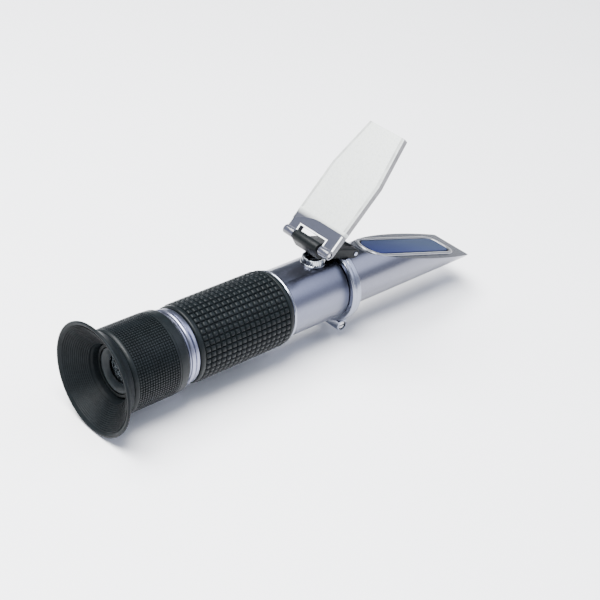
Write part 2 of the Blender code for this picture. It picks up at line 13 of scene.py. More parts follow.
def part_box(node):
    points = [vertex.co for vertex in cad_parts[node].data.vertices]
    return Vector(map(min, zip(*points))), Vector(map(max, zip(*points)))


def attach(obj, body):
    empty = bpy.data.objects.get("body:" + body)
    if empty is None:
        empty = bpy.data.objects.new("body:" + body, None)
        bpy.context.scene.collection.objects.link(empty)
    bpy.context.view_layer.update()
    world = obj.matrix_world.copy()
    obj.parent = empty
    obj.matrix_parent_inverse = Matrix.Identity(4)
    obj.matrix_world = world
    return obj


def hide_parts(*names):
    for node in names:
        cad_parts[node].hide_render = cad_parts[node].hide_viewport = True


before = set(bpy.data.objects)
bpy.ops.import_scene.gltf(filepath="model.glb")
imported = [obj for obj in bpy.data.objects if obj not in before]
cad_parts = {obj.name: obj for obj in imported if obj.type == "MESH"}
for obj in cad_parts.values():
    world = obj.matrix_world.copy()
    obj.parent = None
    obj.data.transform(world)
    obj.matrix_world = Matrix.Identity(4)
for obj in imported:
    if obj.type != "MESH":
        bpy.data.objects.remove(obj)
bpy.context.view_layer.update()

MM = 0.001
RIM_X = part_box("eyecup")[0].x
AXIS_Z = (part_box("eyecup")[0].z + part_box("eyecup")[1].z) / 2
TO_FRAME = Matrix.Translation((RIM_X, 0, AXIS_Z)) @ Matrix.Scale(MM, 4)
ACROSS, UP = (0, 1, 0), (0, 0, 1)
GAP = 0.3                       # clearance between neighbouring pieces
EASE = 0.3                      # rounding of moulded and cast edges

# Facets round a turned piece.
ROUND = 160
CUP_ROUND, RING_ROUND, HOUSING_ROUND = 200, 192, 256
FINE = 64
FINER = 2 * FINE
SCREW_ROUND, PIN_ROUND, BORE_ROUND = 48, 40, 32


def span(node):
    """A node's lowest and highest corner in the instrument's millimetres."""
    low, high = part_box(node)
    back = TO_FRAME.inverted()
    return back @ low, back @ high


# --- sizes read from the frame -----------------------------------------------------------------
TUBE_LOW, TUBE_HIGH = span("barrel_tube")
TUBE_R = TUBE_HIGH.y
HOUSING_HIGH = span("prism_housing")[1]
LENGTH = HOUSING_HIGH.x
HOUSING_R = HOUSING_HIGH.y
FOCUS_LOW, FOCUS_HIGH = span("focus_ring")
FOCUS_R = FOCUS_HIGH.y
GRIP_LOW, GRIP_HIGH = span("rubber_grip")
GRIP_R = GRIP_HIGH.y
BAND_R = span("clamp_band")[1].y
SCREW_X = (span("calibration_screw")[0].x + span("calibration_screw")[1].x) / 2
LINK_PIVOT = (span("link_pin")[0] + span("link_pin")[1]) / 2
PLATE_PIVOT = (span("plate_pin")[0] + span("plate_pin")[1]) / 2
LINK_WIDTH = span("hinge_link")[1].y * 2

# --- sizes of the details ----------------------------------------------------------------------
BAND_WIDTH = 4.1
BAND_REAR = TUBE_HIGH.x + GAP
BAND_FRONT = BAND_REAR + BAND_WIDTH
SLOPE = math.radians(17.0)
NOSE_EDGE_Z = -6.2
LINK_TILT = math.radians(17.5)
LINK_HALF = 1.75                # half the bar's thickness, and its round end's radius
KNUCKLE_R = 2.15
PLATE_TILT = math.radians(45.4)
PLATE_LENGTH, PLATE_BEND = 48.7, 29.4
PLATE_UNDER, PLATE_OVER = 2.1, 0.6
PLATE_REAR_HALF, PLATE_BEND_HALF, PLATE_TIP_HALF = 11.7, 11.8, 8.65
PLATE_EYE_R = 1.75
NOTCH_HALF, NOTCH_END = 6.6, 3.8
EAR_X, EAR_Z, EAR_R, EAR_HALF = BAND_REAR + 2.3, -14.75, 2.4, 8.3
EAR_SEAT = 5.9                  # where the seats of the clamp screw's head and nut end
WINDOW_REAR, WINDOW_FRONT, WINDOW_HALF = 122.3, 166.3, 6.1
WINDOW_BULGE, WINDOW_CORNER = 4.5, 3.7
LIP_WIDTH, PROUD = 1.4, 0.35
# The last of these is the length over which the frosted colour fades into painted shade towards the hinge.
FROST_START, FROST_BOW, FROST_SHADE_FADE = 8.2, 4.3, 2.4
FROST_SKIN = 0.03               # how far the frosted shell stands off the clear plate
SEAL_STEP, SEAL_WIDTH = 0.2, 0.5
GLASS_DEPTH = 26.0

# --- measures of the procedural layers ---------------------------------------------------------
NOISE_ROUGHNESS = 0.55
MOTTLE_FROM, MOTTLE_TO = 0.35, 0.65
ROUGH_FROM, ROUGH_TO = 0.3, 0.7
EDGE_FROM, EDGE_TO = 0.52, 0.62  # pointiness where wear starts and is full


# --- materials ---------------------------------------------------------------------------------

class Finish:
    """A Principled material with a few procedural layers driven by object coordinates."""

    def __init__(self, name, colour, roughness, metallic=0.0, **sockets):
        self.mat = bpy.data.materials.new(name)
        self.mat.use_nodes = True
        self.nodes = self.mat.node_tree.nodes
        self.links = self.mat.node_tree.links
        self.shader = self.nodes["Principled BSDF"]
        self.shader.inputs["Base Color"].default_value = (*colour, 1.0)
        self.shader.inputs["Roughness"].default_value = roughness
        self.shader.inputs["Metallic"].default_value = metallic
        for key, value in sockets.items():
            self.shader.inputs[key.replace("_", " ")].default_value = value
        self.colour = colour
        self.coords = self.nodes.new("ShaderNodeTexCoord")

    def distance_along(self, start, direction, length):
        """0 at start and 1 after length, along a direction; all in the instrument's millimetres."""
        offset = self.nodes.new("ShaderNodeVectorMath")
        offset.operation = "SUBTRACT"
        offset.inputs[1].default_value = TO_FRAME @ start
        self.links.new(self.coords.outputs["Object"], offset.inputs[0])
        dot = self.nodes.new("ShaderNodeVectorMath")
        dot.operation = "DOT_PRODUCT"
        dot.inputs[1].default_value = direction.normalized() / (length * MM)
        self.links.new(offset.outputs["Vector"], dot.inputs[0])
        return dot.outputs["Value"]

    def noise(self, scale, detail=3.0):
        """Noise over the object's own coordinates."""
        node = self.nodes.new("ShaderNodeTexNoise")
        node.inputs["Scale"].default_value = scale
        node.inputs["Detail"].default_value = detail
        node.inputs["Roughness"].default_value = NOISE_ROUGHNESS
        self.links.new(self.coords.outputs["Object"], node.inputs["Vector"])
        return node.outputs["Fac"]

    def ramp(self, fac, stops):
        """Colour ramp; stops are (place, colour)."""
        node = self.nodes.new("ShaderNodeValToRGB")
        elements = node.color_ramp.elements
        elements[0].position, elements[0].color = stops[0][0], (*stops[0][1], 1)
        elements[1].position, elements[1].color = stops[-1][0], (*stops[-1][1], 1)
        for place, colour in stops[1:-1]:
            element = elements.new(place)
            element.color = (*colour, 1)
        self.links.new(fac, node.inputs["Fac"])
        return node.outputs["Color"]

    def mottle(self, scale, dark, light):
        """Base colour that wanders between a darker and a lighter shade of itself."""
        shades = [(MOTTLE_FROM, [c * dark for c in self.colour]),
                  (MOTTLE_TO, [min(1, c * light) for c in self.colour])]
        self.links.new(self.ramp(self.noise(scale), shades), self.shader.inputs["Base Color"])
        return self

    def vary_roughness(self, scale, low, high):
        """Roughness that wanders between two values."""
        node = self.nodes.new("ShaderNodeMapRange")
        node.inputs["To Min"].default_value = low
        node.inputs["To Max"].default_value = high
        node.inputs["From Min"].default_value = ROUGH_FROM
        node.inputs["From Max"].default_value = ROUGH_TO
        self.links.new(self.noise(scale), node.inputs["Value"])
        self.links.new(node.outputs["Result"], self.shader.inputs["Roughness"])
        return self

    def bump(self, scale, strength, distance):
        """Fine grain in the surface's normal; distance is in metres."""
        node = self.nodes.new("ShaderNodeBump")
        node.inputs["Strength"].default_value = strength
        node.inputs["Distance"].default_value = distance
        self.links.new(self.noise(scale), node.inputs["Height"])
        self.links.new(node.outputs["Normal"], self.shader.inputs["Normal"])
        return self

    def worn_edges(self, colour, amount):
        """Edges of a mottled finish rubbed towards another colour, found from their pointiness."""
        geometry = self.nodes.new("ShaderNodeNewGeometry")
        node = self.nodes.new("ShaderNodeMapRange")
        node.inputs["From Min"].default_value = EDGE_FROM
        node.inputs["From Max"].default_value = EDGE_TO
        node.inputs["To Max"].default_value = amount
        self.links.new(geometry.outputs["Pointiness"], node.inputs["Value"])
        mix = self.nodes.new("ShaderNodeMix")
        mix.data_type = "RGBA"
        mix.inputs["B"].default_value = (*colour, 1)
        base = self.shader.inputs["Base Color"]
        self.links.new(base.links[0].from_socket, mix.inputs["A"])
        self.links.new(node.outputs["Result"], mix.inputs["Factor"])
        self.links.new(mix.outputs["Result"], base)
        return self


def rubber(name, colour, roughness, shine=0.3):
    """Matt rubber or moulded plastic with a fine grain."""
    finish = Finish(name, colour, roughness, Specular_IOR_Level=shine)
    finish.mottle(260, dark=0.85, light=1.2)
    finish.vary_roughness(900, roughness - 0.05, roughness + 0.06)
    return finish.bump(5200, strength=0.15, distance=0.00004)


def turned_metal(name, colour, roughness):
    """Smooth satin metal with a faint, even grain."""
    finish = Finish(name, colour, roughness, 1.0)
    return finish.mottle(1600, dark=0.97, light=1.03)


def polished_metal(name, colour, roughness):
    """Plated metal with even less grain."""
    finish = Finish(name, colour, roughness, 1.0)
    return finish.mottle(1600, dark=0.98, light=1.02)


def painted_metal(name, colour, roughness):
    """Dark paint, rubbed paler along its edges."""
    finish = Finish(name, colour, roughness, 0.0, Specular_IOR_Level=0.1)
    finish.mottle(350, dark=0.85, light=1.15)
    finish.vary_roughness(700, roughness - 0.04, roughness + 0.05)
    finish.bump(3500, strength=0.1, distance=0.00003)
    rubbed = [c * 4 + 0.01 for c in colour]
    return finish.worn_edges(rubbed, amount=0.3)


def lens_glass(name, colour):
    """Clear coated glass."""
    finish = Finish(name, colour, 0.03, 0.0, Transmission_Weight=0.9, IOR=1.52, Coat_Weight=0.3)
    return finish.mottle(90, dark=0.96, light=1.02)


def prism_glass():
    """Slate-blue glass, painted deeper blue towards its rear right corner and greyer away from it: painted
    shading and reflection in place of the glass's own reflections.
    """
    finish = Finish("prism_glass_finish", (0.034, 0.043, 0.074), 0.3, 0.0, Specular_IOR_Level=0.0)
    corner = Vector((WINDOW_REAR, -WINDOW_HALF, slope_z(WINDOW_REAR)))
    across_glass, reach = Vector((0.35, 0.93, 0.1)), 22.0
    # painted shading and reflection: deep blue at the rear right corner, greyer across the window
    shades = [(0.0, (0.027, 0.033, 0.105)), (0.35, (0.031, 0.039, 0.086)), (0.8, (0.035, 0.045, 0.073))]
    colour = finish.ramp(finish.distance_along(corner, across_glass, reach), shades)
    finish.links.new(colour, finish.shader.inputs["Base Color"])
    return finish


def clear_plastic_in_painted_shade():
    """The daylight plate's polished clear plastic, drawn as a dark, slightly see-through body under a
    glossy coat: painted shade for the dark parts seen through it.
    """
    finish = Finish("clear_plastic_finish", (0.045, 0.048, 0.065), 0.12, 0.0,
                    Transmission_Weight=0.2, IOR=1.49, Coat_Weight=0.5, Coat_Roughness=0.05)
    return finish.vary_roughness(260, 0.08, 0.18)


def painted_edge_highlight():
    """Painted highlight: pale colour for the polished edges of the clear plastic, where they catch the
    light.
    """
    finish = Finish("painted_edge_highlight_finish", (0.80, 0.82, 0.82), 0.25, 0.0, Coat_Weight=0.4)
    return finish.mottle(900, dark=0.92, light=1.06)


def frosted_plastic():
    """Ground plastic: pale and grainy, fading into painted shade towards the clear hinge end, for the dark
    parts seen through the plate there.
    """
    finish = Finish("frosted_plastic_finish", (0.52, 0.545, 0.525), 0.5, 0.0, Specular_IOR_Level=0.3)
    shades = [(0.3, (0.45, 0.475, 0.46)), (0.5, (0.52, 0.545, 0.525)), (0.72, (0.57, 0.59, 0.575))]
    grain = finish.ramp(finish.noise(1500, detail=4.0), shades)
    fade = finish.distance_along(plate_to_frame() @ Vector((FROST_START - FROST_SHADE_FADE / 2, 0, 0)),
                                 plate_to_frame().to_3x3() @ Vector((1, 0, 0)), FROST_SHADE_FADE)
    mix = finish.nodes.new("ShaderNodeMix")
    mix.data_type = "RGBA"
    # painted shade: the dark colour the frost fades into near the hinge, for the dark parts seen through
    # the clear plastic
    mix.inputs["A"].default_value = (0.030, 0.032, 0.045, 1)
    finish.links.new(grain, mix.inputs["B"])
    finish.links.new(fade, mix.inputs["Factor"])
    finish.links.new(mix.outputs["Result"], finish.shader.inputs["Base Color"])
    return finish.bump(2600, strength=0.3, distance=0.00005)


def make_finishes():
    """Every material of the instrument, by the name that settle() takes."""
    black = (0.0035, 0.005, 0.0058)
    return {
        "cup": rubber("cup_rubber_finish", (0.0045, 0.006, 0.007), 0.48, 0.06),
        "focus": rubber("focus_rubber_finish", black, 0.42, 0.13),
        "grip": rubber("grip_rubber_finish", black, 0.38, 0.13),
        "tube": turned_metal("tube_finish", (0.15, 0.158, 0.205), 0.3),
        "housing": turned_metal("housing_finish", (0.16, 0.163, 0.195), 0.26),
        "lip": turned_metal("window_lip_finish", (0.48, 0.48, 0.50), 0.3),
        "bright": polished_metal("bright_ring_finish", (0.23, 0.24, 0.32), 0.3),
        "chrome": polished_metal("chrome_finish", (0.24, 0.255, 0.31), 0.24),
        "nickel": polished_metal("nickel_finish", (0.42, 0.44, 0.47), 0.12),
        "steel": turned_metal("steel_finish", (0.50, 0.50, 0.52), 0.25),
        "black": painted_metal("black_metal_finish", (0.003, 0.004, 0.0045), 0.42),
        "grey": painted_metal("grey_metal_finish", (0.010, 0.013, 0.015), 0.35),
        "brass": turned_metal("bimetal_finish", (0.56, 0.40, 0.17), 0.3),
        "lens": lens_glass("lens_finish", (0.35, 0.41, 0.45)),
        "prism": prism_glass(),
        "seal": rubber("seal_finish", (0.004, 0.004, 0.006), 0.5),
        # clear plastic drawn dark: painted shade for the parts seen through it
        "clear": clear_plastic_in_painted_shade(),
        # painted highlight along the plate's polished edges
        "edge": painted_edge_highlight(),
        "rail": rubber("plate_side_finish", (0.17, 0.165, 0.17), 0.45),
        "rim": rubber("plate_rim_finish", (0.34, 0.355, 0.345), 0.5),
        "frosted": frosted_plastic(),
    }


# --- mesh tools --------------------------------------------------------------------------------

def turned(profile, steps=ROUND, axis=(1, 0, 0), centre=(0, 0, 0), closed=True):
    """Spin (distance along the axis, radius) points; open profiles start and end on the axis."""
    bm = bmesh.new()
    verts = [bm.verts.new((x, 0.0, r)) for x, r in profile]
    pairs = list(zip(verts, verts[1:]))
    if closed:
        pairs.append((verts[-1], verts[0]))
    edges = [bm.edges.new(pair) for pair in pairs]
    bmesh.ops.spin(bm, geom=verts + edges, axis=(1, 0, 0), cent=(0, 0, 0), angle=math.tau,
                   steps=steps, use_merge=True)
    bmesh.ops.remove_doubles(bm, verts=bm.verts, dist=1e-4)
    bmesh.ops.recalc_face_normals(bm, faces=bm.faces)
    turn = Vector((1, 0, 0)).rotation_difference(Vector(axis)).to_matrix().to_4x4()
    bmesh.ops.transform(bm, matrix=Matrix.Translation(Vector(centre)) @ turn, verts=bm.verts)
    return bm


def cylinder(low, high, radius, steps, axis, centre):
    """Solid cylinder between two distances along an axis through a centre."""
    return turned([(low, 0), (low, radius), (high, radius), (high, 0)], steps, axis, centre, False)


def arc(centre, radius, start, end, count):
    """Points on an arc, angles in degrees, both ends included."""
    points = []
    for i in range(count + 1):
        a = math.radians(start + (end - start) * i / count)
        points.append((centre[0] + radius * math.cos(a), centre[1] + radius * math.sin(a)))
    return points


def extruded(points, shift):
    """Closed solid: a face through the points, extruded by a vector."""
    bm = bmesh.new()
    face = bm.faces.new([bm.verts.new(p) for p in points])
    grown = bmesh.ops.extrude_face_region(bm, geom=[face])
    moved = [v for v in grown["geom"] if isinstance(v, bmesh.types.BMVert)]
    bmesh.ops.translate(bm, vec=shift, verts=moved)
    bmesh.ops.recalc_face_normals(bm, faces=bm.faces)
    return bm


def side_solid(outline, low, high):
    """Outline of (x, z) points, extruded across Y."""
    return extruded([(x, low, z) for x, z in outline], (0, high - low, 0))


def block(low, high):
    """Box between two corners."""
    corners = [(low[0], low[2]), (high[0], low[2]), (high[0], high[2]), (low[0], high[2])]
    return side_solid(corners, low[1], high[1])


def rod(rear, front, radius, ease=0.2):
    """Profile of a rod with rounded ends."""
    ends = arc((rear + ease, radius - ease), ease, 180, 90, 4)
    return [(rear, 0.0)] + ends + arc((front - ease, radius - ease), ease, 90, 0, 4) + [(front, 0.0)]


def raw_object(name, bm):
    """Turn a bmesh into an object still in millimetres."""
    mesh = bpy.data.meshes.new(name)
    bm.to_mesh(mesh)
    bm.free()
    item = bpy.data.objects.new(name, mesh)
    bpy.context.scene.collection.objects.link(item)
    return item


def absorb(bm, item):
    """Add an object's mesh to a bmesh, and remove the object."""
    mesh = item.data
    bm.from_mesh(mesh)
    bpy.data.objects.remove(item, do_unlink=True)
    bpy.data.meshes.remove(mesh)


def carve(item, bm, operation="DIFFERENCE"):
    """Cut a solid from an object still in millimetres, or join or intersect it, and keep the result."""
    tool = raw_object("tool", bm)
    mod = item.modifiers.new("carve", "BOOLEAN")
    mod.operation = operation
    mod.solver = "EXACT"
    mod.object = tool
    bake(item)
    bpy.data.objects.remove(tool, do_unlink=True)


def bake(item):
    """Replace an object's mesh by its modifiers' result."""
    graph = bpy.context.evaluated_depsgraph_get()
    graph.update()
    result = bpy.data.meshes.new_from_object(item.evaluated_get(graph))
    old = item.data
    item.modifiers.clear()
    item.data = result
    bpy.data.meshes.remove(old)


def soften(item, width, segments=2, angle=35):
    """Round an object's edges, still in millimetres."""
    mod = item.modifiers.new("soften", "BEVEL")
    mod.width = width
    mod.segments = segments
    mod.limit_method = "ANGLE"
    mod.angle_limit = math.radians(angle)
    bake(item)


def settle(item, finish, body, nodes=(), sharp=32):
    """Carry a finished shape to the frame, give it its material and let it ride."""
    item.data.transform(TO_FRAME)
    item.data.materials.clear()
    item.data.materials.append(FINISHES[finish].mat)
    item.data.shade_smooth()
    item.data.set_sharp_from_angle(angle=math.radians(sharp))
    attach(item, body)
    if nodes:
        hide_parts(*nodes)


# --- eyepiece end ------------------------------------------------------------------------------

def eyecup():
    """Rubber cup with fine concentric ribs inside its cone and a rounded lip."""
    hole_x, hole_r = 7.3, 9.9
    ribs, depth = 14, 0.42
    inner_r, outer_r = 10.6, 18.5
    mouth_x, cone_width = 0.45, 9.0
    spigot_front = 13.2
    profile = [(hole_x + 0.5, hole_r), (hole_x + 0.1, hole_r + 0.12), (hole_x - 0.25, inner_r - 0.1)]

    def cone_x(r):
        return hole_x - (r - hole_r) * (hole_x - mouth_x) / cone_width

    rib_shape = ((0.0, 0.0), (0.12, 0.85), (0.25, 1.0), (0.5, 1.0), (0.62, 0.85), (0.75, 0.0))
    for rib in range(ribs):
        for place, height in rib_shape:
            r = inner_r + (outer_r - inner_r) * (rib + place) / ribs
            profile.append((cone_x(r) - depth * height, r))
    profile += [(0.35, 18.95), (0.12, 19.2), (0.0, 19.55), (0.05, 19.9), (0.25, 20.12), (0.5, 20.2),
                (0.8, 20.1), (1.15, 19.75), (1.5, 19.3), (2.2, 18.48), (3.0, 17.6), (4.2, 16.4),
                (5.4, 15.5), (6.1, 15.02), (6.4, 14.8), (6.5, 14.55), (6.5, 12.9), (8.6, 12.9),
                (8.6, 11.3), (spigot_front, 11.3), (spigot_front, hole_r)]
    item = raw_object("eyecup_moulding", turned(profile, CUP_ROUND))
    settle(item, "cup", "focus", ["eyecup"], sharp=50)


def studs(bm, first, pitch_x, rows, columns, phase, levels):
    """Rows of small square studs round the axis. The first row's centre is at first, and a column's
    at phase degrees from +Y. levels are each stud's (radius, size in pitches) from foot to top."""
    pitch_a = math.tau / columns
    for row in range(rows):
        x = first + row * pitch_x
        for column in range(columns):
            angle = math.radians(phase) + column * pitch_a
            rings = []
            for radius, size in levels:
                ring = []
                for sx, sa in ((-1, -1), (1, -1), (1, 1), (-1, 1)):
                    a = angle + sa * size * pitch_a / 2
                    ring.append(bm.verts.new((x + sx * size * pitch_x / 2, radius * math.cos(a),
                                              radius * math.sin(a))))
                rings.append(ring)
            for low, high in zip(rings, rings[1:]):
                for i in range(4):
                    j = (i + 1) % 4
                    bm.faces.new((low[i], low[j], high[j], high[i]))
            bm.faces.new(rings[-1])


def focus_ring():
    """Hard ring with a fine square knurl between smooth bands."""
    rear, front = FOCUS_LOW.x, FOCUS_HIGH.x
    rows, pitch = 16, 1.02
    columns, phase = 96, 118.65
    knurl_rear = 8.54
    knurl_front = knurl_rear + rows * pitch
    valley = FOCUS_R - 0.36
    bore, counterbore, step = 11.6, 13.2, 8.9
    profile = [(rear, counterbore), (rear, 14.1), (rear + 0.1, 14.3), (7.3, 14.62), (7.75, 14.86),
               (8.0, FOCUS_R), (knurl_rear - 0.1, FOCUS_R - 0.02), (knurl_rear, valley),
               (knurl_front, valley), (knurl_front + 0.1, FOCUS_R - 0.02), (25.5, FOCUS_R - 0.02),
               (25.62, 14.68), (25.85, 14.68), (25.98, 14.82), (28.7, 14.68), (28.95, 14.6),
               (front - 0.08, 13.36), (front, 13.2), (front, bore), (step, bore), (step, counterbore)]
    bm = turned(profile)
    levels = [(valley - 0.05, 0.94), (FOCUS_R - 0.12, 0.72), (FOCUS_R - 0.02, 0.6), (FOCUS_R, 0.4)]
    studs(bm, knurl_rear + pitch / 2, pitch, rows, columns, phase, levels)
    settle(raw_object("focus_ring_knurled", bm), "focus", "focus", ["focus_ring"], sharp=40)


def eyepiece():
    """Cell face, grey retaining ring and lens, as seen through the cup."""
    cell = [(9.2, 8.4), (9.2, 9.3), (9.45, 9.55), (9.8, 9.6), (29.0, 9.6), (29.0, 7.2), (24.8, 7.2),
            (24.8, 8.4)]
    item = raw_object("eyepiece_cell_turned", turned(cell, FINER))
    settle(item, "black", "eyepiece", ["eyepiece_cell"])
    ring = [(9.5, 7.5), (9.5, 8.0), (9.6, 8.1), (11.0, 8.1), (11.0, 5.2), (10.75, 5.05), (10.5, 5.2),
            (9.9, 6.6), (9.6, 7.1)]
    item = raw_object("retaining_ring_turned", turned(ring, FINER))
    settle(item, "grey", "eyepiece", ["eyepiece_retaining_ring"], sharp=40)
    item = raw_object("eye_lens_polished", dome_lens(rear=11.3, front=15.0, radius=8.1, sag=1.0))
    settle(item, "lens", "eyepiece", ["eye_lens"], sharp=60)


def dome_lens(rear, front, radius, sag):
    """Lens between two vertices on the axis, with both faces falling back by the sag at the edge."""
    rings = 10
    profile = [(rear + sag * (i / rings) ** 2, radius * i / rings) for i in range(rings + 1)]
    profile += [(front - sag * (i / rings) ** 2, radius * i / rings) for i in range(rings, -1, -1)]
    return turned(profile, FINER, closed=False)


# --- barrel ------------------------------------------------------------------------------------

def barrel_tube():
    """Satin tube with the milled seat of the calibration collar, and a thread on its rear neck."""
    neck_r, neck_bore, bore = 11.3, 9.9, 10.9
    rear, front = TUBE_LOW.x, TUBE_HIGH.x
    shoulder, bore_start = 31.0, 33.5
    crest, root = neck_r - 0.05, neck_r - 0.4
    profile = [(rear, neck_bore), (rear, neck_r - 0.3), (rear + 0.3, crest)]
    turns, pitch = 12, 1.2
    for i in range(turns):
        x = rear + pitch + i * pitch
        profile += [(x, crest), (x + 0.4, root), (x + 0.6, root)]
    profile += [(shoulder, crest), (shoulder, TUBE_R), (front - 0.35, TUBE_R),
                (front - 0.1, TUBE_R - 0.1), (front, TUBE_R - 0.35), (front, bore),
                (bore_start, bore), (bore_start, neck_bore)]
    item = raw_object("barrel_tube_turned", turned(profile, RING_ROUND))
    above_tube, seat_z, seat_r, hole_z, hole_r = 14.5, 11.7, 4.9, 8.0, 3.2
    carve(item, cylinder(seat_z, above_tube, seat_r, FINE, UP, (SCREW_X, 0, 0)))
    carve(item, cylinder(hole_z, above_tube, hole_r, FINE, UP, (SCREW_X, 0, 0)))
    settle(item, "tube", "barrel", ["barrel_tube"])


def rear_collar():
    """Bright collar: a full bead followed by a thin flat ring."""
    inner = TUBE_R + GAP
    rear, front = span("rear_collar")[0].x, span("rear_collar")[1].x
    profile = [(rear, inner), (rear, 12.95)] + arc((32.0, 12.75), 0.97, 165, 15, 14)
    profile += [(33.02, 12.95), (33.1, 12.95), (33.2, 13.2), (33.35, 13.34), (front - 0.25, 13.34),
                (front - 0.05, 13.25), (front, 13.1), (front, inner)]
    settle(raw_object("rear_collar_turned", turned(profile, RING_ROUND)), "bright", "barrel",
           ["rear_collar"], sharp=40)


def rubber_grip():
    """Sleeve covered in square studs, with smooth rounded shoulders."""
    inner = TUBE_R + GAP
    rear, front = GRIP_LOW.x, GRIP_HIGH.x
    valley = GRIP_R - 0.78
    rows, pitch, first = 17, 2.217, 37.81
    columns, phase = 40, 116.4
    stud_rear, stud_front = first - pitch / 2 - 0.1, first + (rows - 0.5) * pitch + 0.1
    profile = [(rear, inner), (rear, 13.1)] + arc((rear + 0.75, 13.1), 0.75, 180, 95, 6)
    profile += [(stud_rear - 0.15, 13.86), (stud_rear - 0.05, 13.8), (stud_rear, valley),
                (stud_front, valley), (stud_front + 0.08, 13.78), (stud_front + 0.2, 13.88),
                (75.7, 13.88), (75.95, 13.75), (76.0, 13.3), (76.25, 13.3), (76.3, 13.5),
                (front - 0.15, 13.4), (front, 13.2), (front, inner)]
    bm = turned(profile)
    levels = [(valley - 0.06, 0.97), (GRIP_R - 0.35, 0.74), (GRIP_R - 0.05, 0.52), (GRIP_R, 0.38)]
    studs(bm, first, pitch, rows, columns, phase, levels)
    settle(raw_object("rubber_grip_studded", bm), "grip", "barrel", ["rubber_grip"], sharp=40)


def trim_ring():
    """Thin rounded ring at the grip's front edge."""
    low, high = span("front_trim_ring")
    inner = TUBE_R + GAP
    profile = [(low.x, inner), (low.x, 13.1)] + arc((low.x + 0.45, 12.9), 0.4, 130, 20, 6)
    profile += [(high.x, 12.95), (high.x, inner)]
    settle(raw_object("trim_ring_turned", turned(profile, RING_ROUND)), "chrome", "barrel",
           ["front_trim_ring"], sharp=40)


def calibration():
    """Ribbed collar, and the slotted screw deep inside it."""
    place = Vector((SCREW_X, 0, 0))
    top = span("calibration_collar")[1].z
    profile = [(9.9, 1.75), (9.9, 2.9), (12.0, 2.9), (12.0, 4.4), (12.08, 4.55), (12.22, 4.6), (12.4, 4.52),
               (12.46, 4.2), (12.52, 3.95), (12.6, 3.88), (top - 0.32, 3.88), (top - 0.1, 3.8), (top, 3.62),
               (top, 3.3), (top - 0.12, 3.12), (13.0, 3.0), (12.7, 2.3), (10.9, 2.3), (10.9, 1.75)]
    bm = turned(profile, FINER, UP, place)
    ribs, foot, root_r, crest_r, root_half, crest_half = 34, 12.5, 3.8, 4.18, 0.24, 0.13
    section = [(root_r, -root_half, foot), (crest_r, -crest_half, foot), (crest_r, crest_half, foot),
               (root_r, root_half, foot)]
    for i in range(ribs):
        rib = extruded(section, (0, 0, top - 0.3 - foot))
        turn = Matrix.Translation(place) @ Matrix.Rotation(math.tau * i / ribs, 4, "Z")
        bmesh.ops.transform(rib, matrix=turn, verts=rib.verts)
        absorb(bm, raw_object("rib", rib))
    settle(raw_object("calibration_collar_ribbed", bm), "nickel", "barrel",
           ["calibration_collar"], sharp=30)
    profile = [(9.75, 0.0), (9.75, 1.1), (10.0, 1.4), (11.7, 1.4), (11.7, 1.9)]
    profile += arc((12.45, 1.8), 0.2, 90, 0, 4) + [(12.65, 0.0)]
    item = raw_object("calibration_screw_turned", turned(profile, FINE, UP, place, False))
    slot_reach, slot_half, slot_floor, above_screw = 3, 0.3, 12.15, 14.0
    carve(item, block((SCREW_X - slot_reach, -slot_half, slot_floor),
                      (SCREW_X + slot_reach, slot_half, above_screw)))
    settle(item, "steel", "calibration", ["calibration_screw"])


# --- clamp band --------------------------------------------------------------------------------

def link_point(along, above):
    """Point of the link's side outline: along the bar from the link pivot, above its middle."""
    return (LINK_PIVOT.x - math.cos(LINK_TILT) * along + math.sin(LINK_TILT) * above,
            LINK_PIVOT.z + math.sin(LINK_TILT) * along + math.cos(LINK_TILT) * above)


def clamp_band():
    """Bright split band with its ears, bores and the sloping seat under the link."""
    inner = HOUSING_R + GAP
    profile = [(BAND_REAR, inner), (BAND_REAR, 13.9)] + arc((BAND_REAR + 0.55, 13.9), 0.55, 180, 100, 5)
    profile += [(BAND_REAR + 0.55, BAND_R), (BAND_REAR + 1.35, BAND_R), (BAND_REAR + 1.6, BAND_R - 0.16),
                (BAND_REAR + 1.8, BAND_R - 0.16), (BAND_REAR + 2.0, BAND_R - 0.05),
                (BAND_FRONT - 0.5, BAND_R - 0.2)]
    profile += arc((BAND_FRONT - 0.5, BAND_R - 0.7), 0.5, 80, 0, 5) + [(BAND_FRONT, inner)]
    band = raw_object("clamp_band_turned", turned(profile, RING_ROUND))
    ear_top_half, ear_top_z = 1.9, -12.6
    outline = arc((EAR_X, EAR_Z), EAR_R - 0.1, 180, 360, 24)
    outline += [(EAR_X + ear_top_half, ear_top_z), (EAR_X - ear_top_half, ear_top_z)]
    ears = raw_object("ears", side_solid(outline, -EAR_HALF, EAR_HALF))
    soften(ears, EASE, 3)
    bm = bmesh.new()
    absorb(bm, ears)
    carve(band, bm, "UNION")
    split_half, split_floor, split_top = 0.5, -19.0, -10.0
    carve(band, block((BAND_REAR - 1, -split_half, split_floor), (BAND_FRONT + 1, split_half, split_top)))
    head_bore, shank_bore, nut_bore, past_ears = 1.75, 1.2, 1.95, 10
    bore = [(-past_ears, 0), (-past_ears, head_bore), (-EAR_SEAT, head_bore), (-EAR_SEAT, shank_bore),
            (EAR_SEAT, shank_bore), (EAR_SEAT, nut_bore), (past_ears, nut_bore), (past_ears, 0)]
    carve(band, turned(bore, SCREW_ROUND, ACROSS, (EAR_X, 0, EAR_Z), False))
    seat_start, seat_end, under, above = 1.5, 12, -LINK_HALF - GAP, 6
    seat = [link_point(seat_start, under), link_point(seat_end, under), link_point(seat_end, above),
            link_point(seat_start, above)]
    seat_half = LINK_WIDTH / 2 + 0.5
    carve(band, side_solid(seat, -seat_half, seat_half))
    settle(band, "chrome", "barrel", ["clamp_band"])


